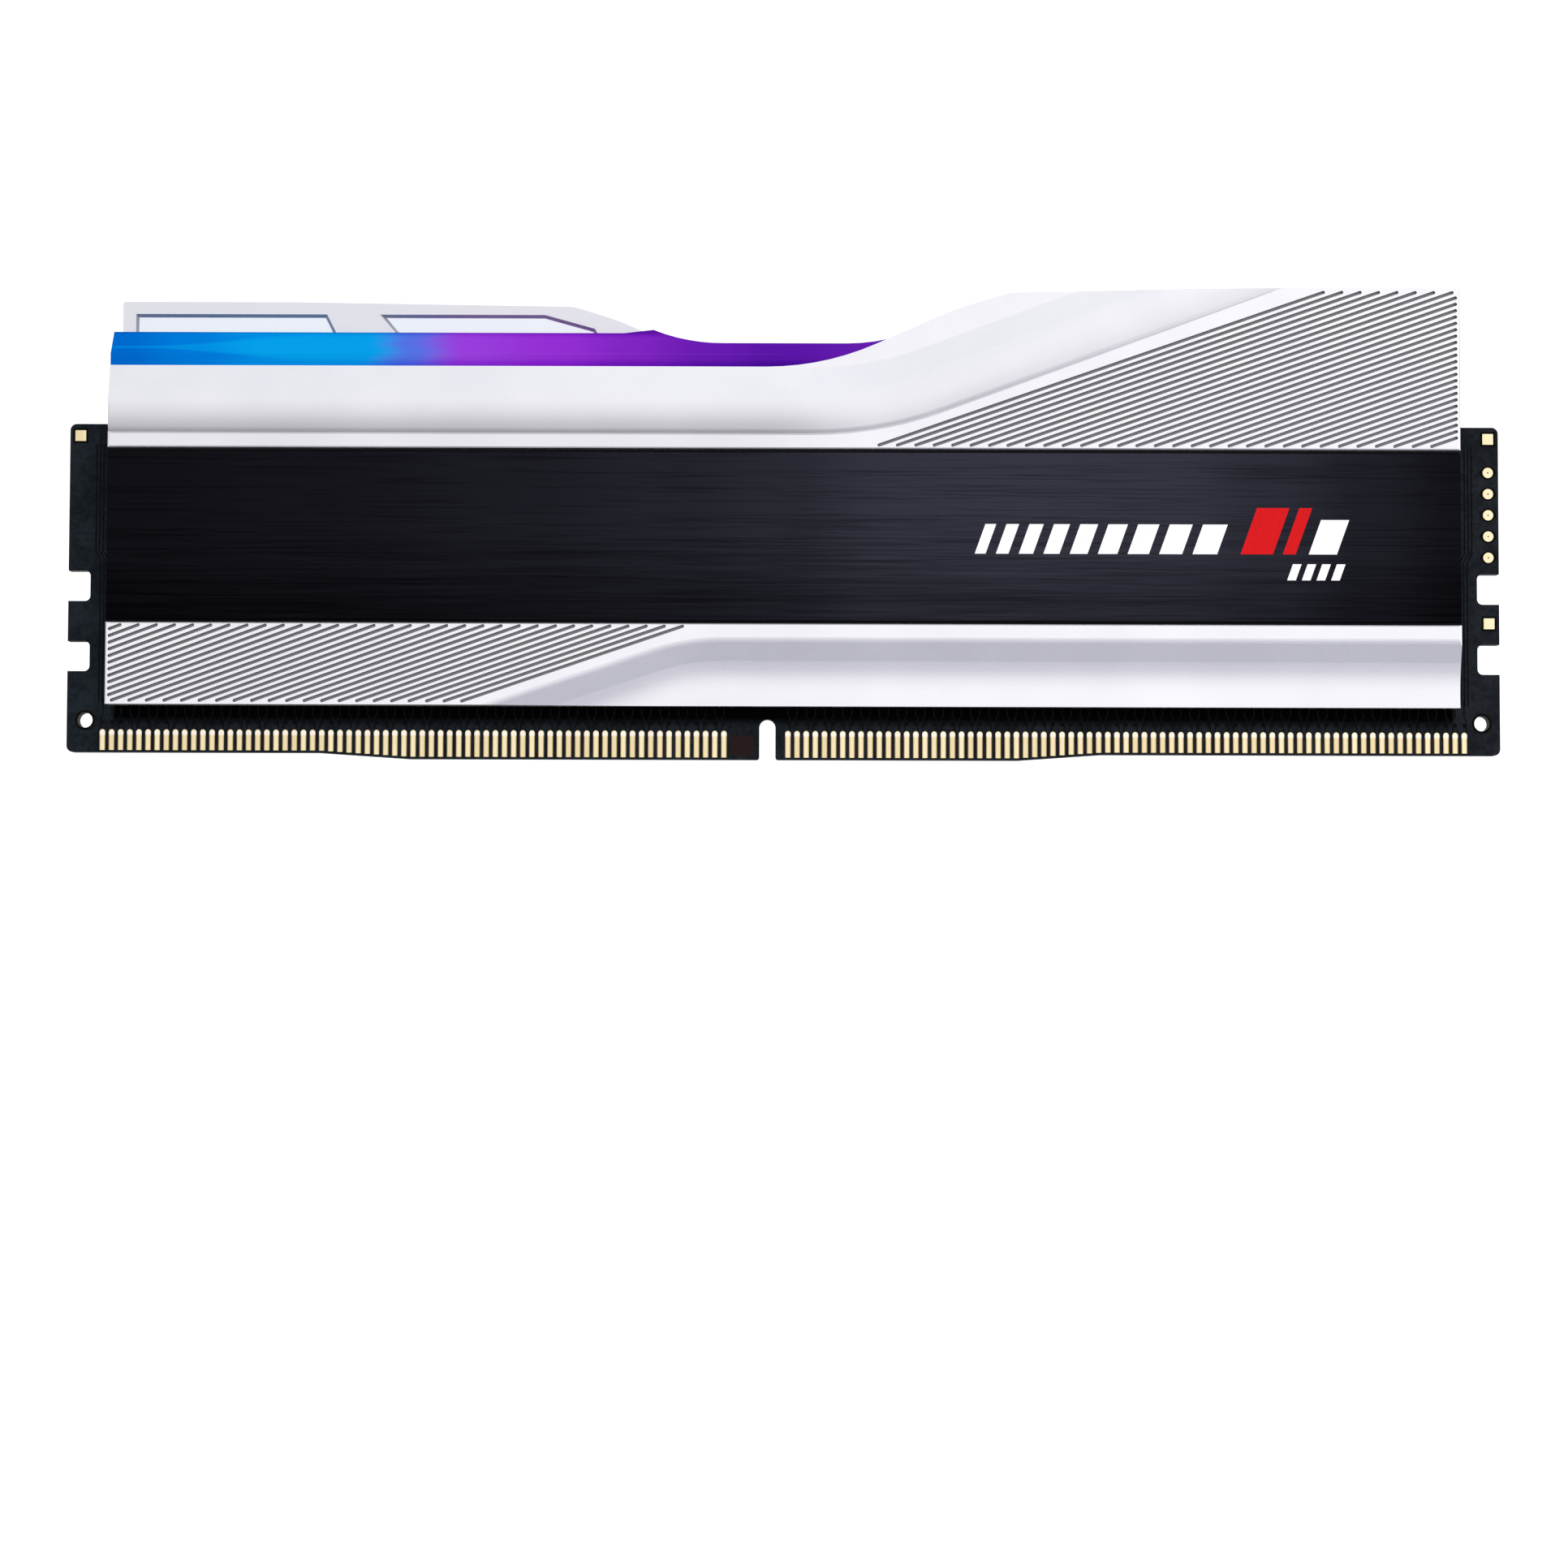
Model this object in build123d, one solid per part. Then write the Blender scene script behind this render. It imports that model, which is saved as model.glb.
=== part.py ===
"""DDR5 desktop memory module with a two-sided metal heat spreader and a light bar.

Frame: +X along the module, +Z up, front of the module towards -Y. The origin is at
the middle of the contact edge, on the board's mid-plane. All sizes in millimetres.
"""
from build123d import *
import math
import os

# Circuit board
board_length = 133.35
board_height = 31.25
board_thickness = 1.27
end_step = 0.55
step_left = (-43.2, -34.8)
step_right = (21.8, 29.6)
board_corner_r = 0.6
latch_notches = ((14.65, 17.5), (8.1, 10.9))
latch_notch_depth = 2.05
latch_notch_r = 0.5
key_notch_x = -1.49
key_notch_width = 1.5
key_notch_height = 3.75
key_notch_mouth_r = 0.25
tooling_hole_x = 64.975
tooling_hole_z = 3.53
tooling_hole_r = 0.7

# Edge contacts
contact_pitch = 0.85
contact_width = 0.52
contact_top = 2.68
contact_edge_gap = 0.2
contact_thickness = 0.04
left_contacts = 69
right_contacts = 75
last_contact_x = 63.325

# Bare pads on the board
pad_thickness = 0.03
fiducial_size = 1.0
fiducial_places = ((-65.7, 30.15), (65.72, 30.15), (65.72, 12.86))
test_pad_r = 0.48
test_pad_hole_r = 0.07
test_pad_x = 65.7
test_pad_top = 27.0
test_pad_pitch = 1.99
test_pad_count = 5

# Electronics on the front of the board
chip_width = 10.0
chip_height = 11.0
chip_thickness = 1.1
chip_centre_z = 15.6
first_chip_x = 17.5
chip_pitch = 13.2
chips_per_side = 4
package_bevel = 0.12
led_count = 8
led_pitch = 15.5
led_length = 2.8
led_width = 1.2
led_thickness = 0.9
power_chip_z = 25.6
power_chip_size = 5.0
power_chip_thickness = 0.9
coil_z = 20.0
coil_pitch = 5.0
coil_size = 4.0
coil_thickness = 1.2
hub_chip_z = 13.6
hub_chip_size = (3.0, 2.0, 0.75)
led_driver_z = 9.4
led_driver_size = (4.0, 4.0, 0.85)
bulk_capacitor_size = (1.25, 2.0, 1.2)
bulk_capacitor_x = (8.4, 10.4)
bulk_capacitor_z = (21.0, 25.4)
small_capacitor_size = (1.0, 0.5, 0.5)
small_capacitor_offset = 2.6
small_capacitor_z = (22.4, 8.9)
resistor_size = (1.0, 0.5, 0.35)
resistor_z = 6.6
resistor_count = 30
resistor_pitch = 4.0
rear_pad_size = (120.0, 12.0)

# Heat spreader
spreader_length = 124.92
spreader_bottom = 4.8
low_top = 36.32
fin_top_inner = 43.3
fin_top_outer = 43.66
fin_flat_start = 46.0
rear_fin_drop = 0.33
fin_rise_x = 3.65
fin_rise_angle = 24.0
fin_foot_r = 25.0
fin_bend_x = 15.9
fin_bend_angle = 16.5
fin_bend_r = 30.0
fin_shoulder_r = 3.0
fin_corner_r = 0.25
lip_y = 4.25
inner_y = 2.2
end_chamfer = 0.18

# Sculpted bands beside the lips
upper_crease_x = 8.85
upper_crease_z = 30.05
upper_crease_angle = 20.2
upper_crease_r = 35.0
roll_foot_r = 3.0
roll_foot_angle = 19.0
roll_r = 8.0
roll_join_angle = 12.0
roll_lean_angle = 14.0
ridge_depth = 0.03
lip_chamfer = 0.22
band_width = 6.2
upper_cut_reach = 16.0
taper_run = 42.0
taper_end = 0.45
lower_crease_x = -9.0
lower_crease_z = 10.95
lower_crease_angle = 18.4
lower_crease_r = 20.0
bevel_angle = 17.5
bevel_reach = 3.98
valley_angle = 6.0
lip_round_r = 2.6
valley_r = 10.0
lower_cut_reach = 12.0

# Grooves
upper_groove_angle = 19.22
upper_groove_step = 1.70
lower_groove_angle = 18.93
lower_groove_fan = 0.0545
lower_groove_step = 1.671
groove_width = 0.30
groove_depth = 0.38
groove_count = 32
groove_x_limit = 62.2
upper_groove_x = 8.33
upper_groove_z = (28.76, 43.38)
lower_groove_x = -8.876
lower_groove_z = (4.98, 12.23)

# Brushed plate and its channel
channel_z = (12.35, 28.59)
channel_depth = 0.75
channel_edge_bevel = 0.1
plate_gap = 0.27
plate_thickness = 0.5
plate_bevel = 0.08

# Pockets in the inner face of the fin
pocket_depth = 0.35
pocket_wall_angle = 38.0
pocket_below_top = 1.15
pocket_height = 4.4

# Printed bars on the plate
print_thickness = 0.02
print_slant = 0.36
print_z = 18.9
long_row_x = 17.6
long_row_count = 9
long_row_first_width = 1.0
long_row_growth = 0.16
long_row_gap = 0.95
long_row_height = 2.75
red_bars = ((42.1, 3.0), (46.0, 1.2))
red_height = 4.3
last_bar_x = 48.4
last_bar_width = 2.6
last_bar_height = 3.2
short_row_x = 46.4
short_row_z = 16.5
short_row_count = 4
short_row_pitch = 1.35
short_bar_width = 0.8
short_bar_height = 1.5

# Light bar
bar_bottom = 31.6
bar_half_thickness = 2.15
bar_crease_z = 37.65
bar_top_half_thickness = 1.7
bar_top = 39.72
bar_peak = 40.05
bar_peak_x = 12.2
bar_rise_length = 2.8
bar_dip = 38.79
bar_dip_x = 5.8
bar_overhang = 0.24

os.makedirs("parts", exist_ok=True)


def place(*points):
    """Face in the X-Z plane from its corner points."""
    return make_face(Polyline(*points, close=True))


def slab(sketch, near, far):
    """Solid in front of the board's mid-plane, between two distances from it."""
    return extrude(Plane.XZ.offset(near) * sketch, amount=far - near)


def block(x, z, width, height, near, far):
    """Box in front of the board's mid-plane, centred at x and z."""
    return slab(Pos(x, z) * Rectangle(width, height), near, far)


def to_rear(shape):
    """The same shape turned to the rear of the module."""
    return Rot(0, 0, 180) * shape


def save(shape, node):
    """Write one node's STEP file."""
    export_step(shape, f"parts/{node}.step")


# ---------------------------------------------------------------- circuit board
def edge_height(x):
    """Height of the board's bottom edge at x: the ends are stepped up."""
    left = (step_left[1] - x) / (step_left[1] - step_left[0])
    right = (x - step_right[0]) / (step_right[1] - step_right[0])
    return end_step * max(0.0, min(1.0, max(left, right)))


def circuit_board():
    half = board_length / 2
    outline = place(
        (-half, end_step),
        (step_left[0], end_step),
        (step_left[1], 0),
        (step_right[0], 0),
        (step_right[1], end_step),
        (half, end_step),
        (half, board_height),
        (-half, board_height),
    )
    corners = [v for v in outline.vertices() if abs(abs(v.X) - half) < 0.01]
    outline = fillet(corners, board_corner_r)
    for side in (-1, 1):
        for low, high in latch_notches:
            notch = RectangleRounded(2 * latch_notch_depth, high - low, latch_notch_r)
            outline -= Pos(side * half, (low + high) / 2) * notch
        outline -= Pos(side * tooling_hole_x, tooling_hole_z) * Circle(tooling_hole_r)
    slot_r = key_notch_width / 2
    slot_straight = key_notch_height - slot_r
    outline -= Pos(key_notch_x, slot_straight / 2) * Rectangle(key_notch_width, slot_straight)
    outline -= Pos(key_notch_x, slot_straight) * Circle(slot_r)
    mouth = [v for v in outline.vertices() if abs(v.Y) < 0.01 and abs(v.X - key_notch_x) < slot_r + 0.01]
    outline = fillet(mouth, key_notch_mouth_r)
    return slab(outline, -board_thickness / 2, board_thickness / 2)


def contact(x):
    """One gold finger with a rounded top, on the front face."""
    low = edge_height(x) + contact_edge_gap
    radius = contact_width / 2
    high = contact_top - radius
    finger = Pos(x, (low + high) / 2) * Rectangle(contact_width, high - low)
    finger += Pos(x, high) * Circle(radius)
    return slab(finger, board_thickness / 2, board_thickness / 2 + contact_thickness)


def contact_places():
    left = [-last_contact_x + i * contact_pitch for i in range(left_contacts)]
    right = [last_contact_x - i * contact_pitch for i in range(right_contacts)]
    return left + right


def board_pads():
    """Square alignment pads and the column of round test pads."""
    near = board_thickness / 2
    far = near + pad_thickness
    squares = [block(x, z, fiducial_size, fiducial_size, near, far) for x, z in fiducial_places]
    rounds = []
    for i in range(test_pad_count):
        ring = Circle(test_pad_r) - Circle(test_pad_hole_r)
        spot = Pos(test_pad_x, test_pad_top - i * test_pad_pitch) * ring
        rounds.append(slab(spot, near, far))
    return squares, rounds


# ------------------------------------------------------------------- electronics
def on_board(x, z, width, height, thickness):
    """A rectangular package soldered to the front of the board."""
    near = board_thickness / 2
    return block(x, z, width, height, near, near + thickness)


def chip_package(x, z, width, height, thickness):
    """A moulded chip: a package with its outer edges slightly bevelled."""
    package = on_board(x, z, width, height, thickness)
    return chamfer(package.faces().sort_by(Axis.Y)[0].edges(), package_bevel)


def memory_chips():
    right = [first_chip_x + i * chip_pitch for i in range(chips_per_side)]
    places = sorted([-x for x in right] + right)
    return [chip_package(x, chip_centre_z, chip_width, chip_height, chip_thickness) for x in places]


def rgb_leds():
    z = board_height - led_width / 2
    first = -led_pitch * (led_count - 1) / 2
    return [
        on_board(first + i * led_pitch, z, led_length, led_width, led_thickness)
        for i in range(led_count)
    ]


def decoupling_capacitors():
    """Two small capacitors above and two below each memory chip."""
    group = []
    for side in (-1, 1):
        for i in range(chips_per_side):
            for offset in (-small_capacitor_offset, small_capacitor_offset):
                x = side * (first_chip_x + i * chip_pitch) + offset
                group += [on_board(x, z, *small_capacitor_size) for z in small_capacitor_z]
    return group


def series_resistors():
    """A row of small resistors just above the contacts."""
    first = -resistor_pitch * (resistor_count - 1) / 2
    places = [first + i * resistor_pitch for i in range(resistor_count)]
    return [on_board(x, resistor_z, *resistor_size) for x in places]


def bulk_capacitors():
    """Two columns of large capacitors on each side of the power stage."""
    places = [(side * x, z) for side in (-1, 1) for x in bulk_capacitor_x for z in bulk_capacitor_z]
    return [on_board(x, z, *bulk_capacitor_size) for x, z in places]


# ------------------------------------------------------------------ heat spreader
def spreader_outline(drop):
    """Outer shape seen from the front: a low band on the left, a raised fin on the right."""
    half = spreader_length / 2
    inner_top = fin_top_inner - drop
    bend_z = low_top + (fin_bend_x - fin_rise_x) * math.tan(math.radians(fin_rise_angle))
    shoulder_x = fin_bend_x + (inner_top - bend_z) / math.tan(math.radians(fin_bend_angle))
    edge = FilletPolyline(
        (-half, spreader_bottom),
        (half, spreader_bottom),
        (half, fin_top_outer - drop),
        (fin_flat_start, fin_top_outer - drop),
        (shoulder_x, inner_top),
        (fin_bend_x, bend_z),
        (fin_rise_x, low_top),
        (-half, low_top),
        radius=[0, 0, fin_corner_r, 0, fin_shoulder_r, fin_bend_r, fin_foot_r, 0],
        close=True,
    )
    return make_face(edge)


def upper_profile(depth_scale):
    """Section of what is cut away above the upper lip.

    x is the depth below the lip's plane and y the distance above the crease: a tightly
    rolled foot, a wide roll, then a face that leans inwards.
    """
    foot = math.radians(roll_foot_angle)
    join = math.radians(roll_join_angle)
    lean = math.radians(roll_lean_angle)
    join_x = ridge_depth + roll_r * (1 - math.cos(join))
    join_y = roll_foot_r * (math.sin(foot) - math.sin(join))

    def on_foot(angle):
        x = join_x + roll_foot_r * (math.cos(join) - math.cos(angle))
        return (depth_scale * x, roll_foot_r * (math.sin(foot) - math.sin(angle)))

    def on_roll(angle):
        x = ridge_depth + roll_r * (1 - math.cos(angle))
        return (depth_scale * x, join_y + roll_r * (math.sin(join) + math.sin(angle)))

    leave = on_roll(lean)
    band_depth = leave[0] + depth_scale * (band_width - leave[1]) * math.tan(lean)
    lip_edge = depth_scale * lip_chamfer
    clear = -1.5
    outer = Polyline(leave, (band_depth, band_width), (band_depth, upper_cut_reach), (clear, upper_cut_reach),
                     (clear, clear - lip_edge), (lip_edge, 0), on_foot(foot))
    tight = ThreePointArc(on_foot(foot), on_foot((foot + join) / 2), on_foot(join))
    wide = ThreePointArc(on_foot(join), on_roll(0), leave)
    return make_face(outer + tight + wide)


def upper_cutter():
    """What is cut away above the upper lip; it runs out along the slope to the fin's top."""
    left = -spreader_length / 2 - 5
    level = Plane(origin=(left, -lip_y, upper_crease_z), x_dir=(0, 1, 0), z_dir=(1, 0, 0))
    angle = math.radians(upper_crease_angle)
    along = (math.cos(angle), 0, math.sin(angle))
    reach = upper_crease_r * math.tan(angle / 2)
    bend_start = (upper_crease_x - reach, upper_crease_z)
    bend_end = (upper_crease_x + reach * along[0], upper_crease_z + reach * along[2])
    path = Line((left, upper_crease_z), bend_start)
    path += TangentArc(bend_start, bend_end, tangent=(1, 0))
    bent = sweep(level * upper_profile(1), path=Plane.XZ.offset(lip_y) * path)
    near = Vector(bend_end[0], -lip_y, bend_end[1])
    far = near + Vector(*along) * taper_run
    sections = [
        Plane(origin=origin, x_dir=(0, 1, 0), z_dir=along) * upper_profile(scale)
        for origin, scale in ((near, 1), (far, taper_end))
    ]
    return bent, loft(sections, ruled=True)


def lower_cutter():
    """What is cut away below the lower lip: a bevel that rolls into a shallow valley."""
    deepest = bevel_reach * math.tan(math.radians(bevel_angle))
    run_out = deepest - (lower_cut_reach - bevel_reach) * math.tan(math.radians(valley_angle))
    clear = -1.5
    above_lip = (-0.05, -1.0)
    surface = FilletPolyline(
        above_lip,
        (0, 0),
        (deepest, bevel_reach),
        (run_out, lower_cut_reach),
        radius=[lip_round_r, valley_r],
    )
    outer = Polyline((run_out, lower_cut_reach), (clear, lower_cut_reach), (clear, above_lip[1]), above_lip)
    profile = make_face(surface + outer)
    right = spreader_length / 2 + 5
    section = Plane(origin=(right, -lip_y, lower_crease_z), x_dir=(0, 1, 0), z_dir=(-1, 0, 0))
    slope = math.radians(lower_crease_angle)
    run = 60.0
    start = (right, lower_crease_z)
    bend = (lower_crease_x, lower_crease_z)
    end = (lower_crease_x - run * math.cos(slope), lower_crease_z - run * math.sin(slope))
    path = FilletPolyline(start, bend, end, radius=lower_crease_r)
    return sweep(section * profile, path=Plane.XZ.offset(lip_y) * path)


def groove(x_line, z_line, z_range, angle):
    """One slanted groove on the line through x_line, z_line, cut short at the field's edges."""
    slope = math.tan(math.radians(angle))
    inset = groove_width / 2
    low_x = max(-groove_x_limit + inset, x_line + (z_range[0] + inset - z_line) / slope)
    high_x = min(groove_x_limit - inset, x_line + (z_range[1] - inset - z_line) / slope)
    if high_x - low_x < 2 * groove_width:
        return None
    middle_x = (low_x + high_x) / 2
    middle_z = z_line + (middle_x - x_line) * slope
    length = (high_x - low_x) * math.hypot(1, slope)
    slot = SlotCenterToCenter(length, groove_width, rotation=angle)
    return slab(Pos(middle_x, middle_z) * slot, lip_y - groove_depth, lip_y + 1)


def grooves(drop):
    """Both groove fields: parallel grooves at the upper right, a slight fan at the lower left."""
    upper = (upper_groove_z[0], upper_groove_z[1] - drop)
    lines = []
    for i in range(groove_count):
        x = upper_groove_x + i * upper_groove_step
        lines.append(groove(x, upper_groove_z[0], upper, upper_groove_angle))
        x = lower_groove_x - i * lower_groove_step
        angle = lower_groove_angle + i * lower_groove_fan
        lines.append(groove(x, lower_groove_z[1], lower_groove_z, angle))
    return [line for line in lines if line is not None]


def fin_pockets(drop):
    """Two shallow pockets in the fin's inner face, with slanted ends and sloping walls."""
    top = fin_top_outer - drop - pocket_below_top
    low = top - pocket_height
    outer = place((61.25, top), (43.2, top), (41.0, low), (61.25, low))
    middle = place((38.2, top), (22.6, top), (17.9, top - 1.3), (16.0, low), (34.4, low))
    face = Plane.XZ.offset(inner_y)
    return [extrude(face * shape, amount=pocket_depth, taper=pocket_wall_angle) for shape in (outer, middle)]


def end_bevels():
    """Small bevels on the outer corners at both ends, at the level of the lips."""
    side_length = end_chamfer * math.sqrt(2)
    square = Rectangle(side_length, side_length, rotation=45)
    places = [(side * spreader_length / 2, -lip_y) for side in (-1, 1)]
    return [extrude(Pos(x, y) * square, amount=fin_top_outer) for x, y in places]


def channel_bevels():
    """Small bevels along both edges of the plate's channel."""
    side_length = channel_edge_bevel * math.sqrt(2)
    square = Rectangle(side_length, side_length, rotation=45)
    half = spreader_length / 2 + 1
    return [extrude(Plane.YZ * Pos(-lip_y, z) * square, amount=half, both=True) for z in channel_z]


def heat_spreader(drop):
    """Front spreader; drop lowers the fin."""
    shell = slab(spreader_outline(drop), inner_y, lip_y)
    for cutter in upper_cutter():
        shell -= cutter
    shell -= lower_cutter()
    channel_middle = sum(channel_z) / 2
    channel_height = channel_z[1] - channel_z[0]
    length = spreader_length + 2
    shell -= block(0, channel_middle, length, channel_height, lip_y - channel_depth, lip_y + 1)
    shell -= channel_bevels()
    shell -= end_bevels()
    shell -= fin_pockets(drop)
    shell -= grooves(drop)
    return shell


def brushed_plate():
    """Thin plate in the spreader's channel, with a narrow gap above and below it."""
    floor = lip_y - channel_depth
    height = channel_z[1] - channel_z[0] - 2 * plate_gap
    plate = block(0, sum(channel_z) / 2, spreader_length, height, floor, floor + plate_thickness)
    front_edges = plate.edges().filter_by(Axis.X).sort_by(Axis.Y)[0:2]
    return chamfer(front_edges, plate_bevel)


# ------------------------------------------------------------------- printed bars
def slanted_bar(left, low, width, height):
    """Parallelogram that leans to the right, printed on the plate."""
    shift = height * print_slant
    high = low + height
    right = left + width
    shape = place((left, low), (right, low), (right + shift, high), (left + shift, high))
    surface = lip_y - channel_depth + plate_thickness
    return slab(shape, surface, surface + print_thickness)


def printed_bars():
    """Plain pattern of slanted bars: long white ones, two red ones and a short white row."""
    white = []
    left = long_row_x
    for i in range(long_row_count):
        width = long_row_first_width + long_row_growth * i
        white.append(slanted_bar(left, print_z, width, long_row_height))
        left += width + long_row_gap
    red = [slanted_bar(x, print_z, width, red_height) for x, width in red_bars]
    white.append(slanted_bar(last_bar_x, print_z, last_bar_width, last_bar_height))
    for i in range(short_row_count):
        x = short_row_x + i * short_row_pitch
        white.append(slanted_bar(x, short_row_z, short_bar_width, short_bar_height))
    return white, red


# ---------------------------------------------------------------------- light bar
def light_bar():
    """Diffuser on the module's top edge, lower in the middle than at its ends."""
    half = spreader_length / 2
    widest = half + bar_overhang
    section = Plane.YZ * place(
        (-bar_half_thickness + 0.3, bar_bottom),
        (bar_half_thickness - 0.3, bar_bottom),
        (bar_half_thickness - 0.05, bar_bottom + 1.2),
        (bar_half_thickness, bar_crease_z),
        (bar_top_half_thickness, bar_peak + 0.1),
        (-bar_top_half_thickness, bar_peak + 0.1),
        (-bar_half_thickness, bar_crease_z),
        (-bar_half_thickness + 0.05, bar_bottom + 1.2),
    )
    bar = extrude(section, amount=widest, both=True)
    reach = bar_peak_x - bar_dip_x
    fall = bar_peak - bar_dip
    curve_r = (reach**2 + fall**2) / (2 * fall)
    half_angle = math.asin(reach / curve_r) / 2
    on_curve_x = bar_dip_x + curve_r * math.sin(half_angle)
    on_curve_z = bar_dip + curve_r * (1 - math.cos(half_angle))
    flat_start = bar_peak_x + bar_rise_length
    low = bar_bottom - 1
    top = make_face(
        Polyline((bar_peak_x, bar_peak), (flat_start, bar_top), (half, bar_top), (widest, bar_crease_z),
                 (widest, bar_crease_z - 1), (half, low), (-half, low), (-widest, bar_crease_z - 1),
                 (-widest, bar_crease_z), (-half, bar_top), (-flat_start, bar_top), (-bar_peak_x, bar_peak))
        + ThreePointArc((-bar_peak_x, bar_peak), (-on_curve_x, on_curve_z), (-bar_dip_x, bar_dip))
        + Line((-bar_dip_x, bar_dip), (bar_dip_x, bar_dip))
        + ThreePointArc((bar_dip_x, bar_dip), (on_curve_x, on_curve_z), (bar_peak_x, bar_peak))
    )
    bar &= slab(top, -lip_y, lip_y)
    return bar


# ------------------------------------------------------------------------- output
def build():
    save(circuit_board(), "circuit_board")
    fingers = [contact(x) for x in contact_places()]
    rear_fingers = [mirror(finger, about=Plane.XZ) for finger in fingers]
    save(Compound(children=fingers), "edge_contacts_front")
    save(Compound(children=rear_fingers), "edge_contacts_rear")
    squares, rounds = board_pads()
    save(Compound(children=squares), "fiducial_pads")
    save(Compound(children=rounds), "test_pads")

    for number, chip in enumerate(memory_chips(), start=1):
        save(chip, f"memory_chip_{number}")
    for number, led in enumerate(rgb_leds(), start=1):
        save(led, f"rgb_led_{number}")
    power_chip = (power_chip_size, power_chip_size, power_chip_thickness)
    save(chip_package(0, power_chip_z, *power_chip), "power_management_chip")
    for number in (1, 2, 3):
        coil = chip_package((number - 2) * coil_pitch, coil_z, coil_size, coil_size, coil_thickness)
        save(coil, f"power_inductor_{number}")
    save(chip_package(0, hub_chip_z, *hub_chip_size), "spd_hub_chip")
    save(chip_package(0, led_driver_z, *led_driver_size), "led_driver_chip")
    save(Compound(children=bulk_capacitors()), "bulk_capacitors")
    save(Compound(children=decoupling_capacitors()), "decoupling_capacitors")
    save(Compound(children=series_resistors()), "series_resistors")

    board_face = board_thickness / 2
    chip_top = board_face + chip_thickness
    bank_middle = first_chip_x + chip_pitch * (chips_per_side - 1) / 2
    bank_length = chip_pitch * (chips_per_side - 1) + chip_width
    for side, name in ((-1, "left"), (1, "right")):
        pad = block(side * bank_middle, chip_centre_z, bank_length, chip_height, chip_top, inner_y)
        save(pad, f"thermal_pad_{name}")
    power_top = board_face + power_chip_thickness
    over_chip = block(0, power_chip_z, power_chip_size, power_chip_size, power_top, inner_y)
    save(over_chip, "thermal_pad_power_chip")
    coils_length = 2 * coil_pitch + coil_size
    over_coils = block(0, coil_z, coils_length, coil_size, board_face + coil_thickness, inner_y)
    save(over_coils, "thermal_pad_inductors")
    save(to_rear(block(0, chip_centre_z, *rear_pad_size, board_face, inner_y)), "thermal_pad_rear")

    save(heat_spreader(0), "heat_spreader_front")
    save(to_rear(heat_spreader(rear_fin_drop)), "heat_spreader_rear")
    plate = brushed_plate()
    save(plate, "brushed_plate_front")
    save(to_rear(plate), "brushed_plate_rear")
    white, red = printed_bars()
    save(Compound(children=white), "white_print_front")
    save(Compound(children=red), "red_print_front")
    save(Compound(children=[to_rear(bar) for bar in white]), "white_print_rear")
    save(Compound(children=[to_rear(bar) for bar in red]), "red_print_rear")
    save(light_bar(), "light_bar")


build()
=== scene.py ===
"""Looks of the memory module: materials, board detail, stage, lights and camera."""
import math

import bmesh
import bpy
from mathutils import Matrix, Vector


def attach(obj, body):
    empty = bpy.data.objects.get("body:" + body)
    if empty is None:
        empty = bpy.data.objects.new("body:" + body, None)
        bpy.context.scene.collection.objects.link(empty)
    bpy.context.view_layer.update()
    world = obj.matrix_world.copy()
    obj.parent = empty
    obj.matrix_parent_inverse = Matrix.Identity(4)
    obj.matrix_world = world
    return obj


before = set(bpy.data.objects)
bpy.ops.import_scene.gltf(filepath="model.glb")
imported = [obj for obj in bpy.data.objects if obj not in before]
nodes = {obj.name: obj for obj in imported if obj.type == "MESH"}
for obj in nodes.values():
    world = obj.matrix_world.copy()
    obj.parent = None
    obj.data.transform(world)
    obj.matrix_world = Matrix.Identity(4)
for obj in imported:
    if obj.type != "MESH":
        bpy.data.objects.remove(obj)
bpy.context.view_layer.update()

MM = 0.001


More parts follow.
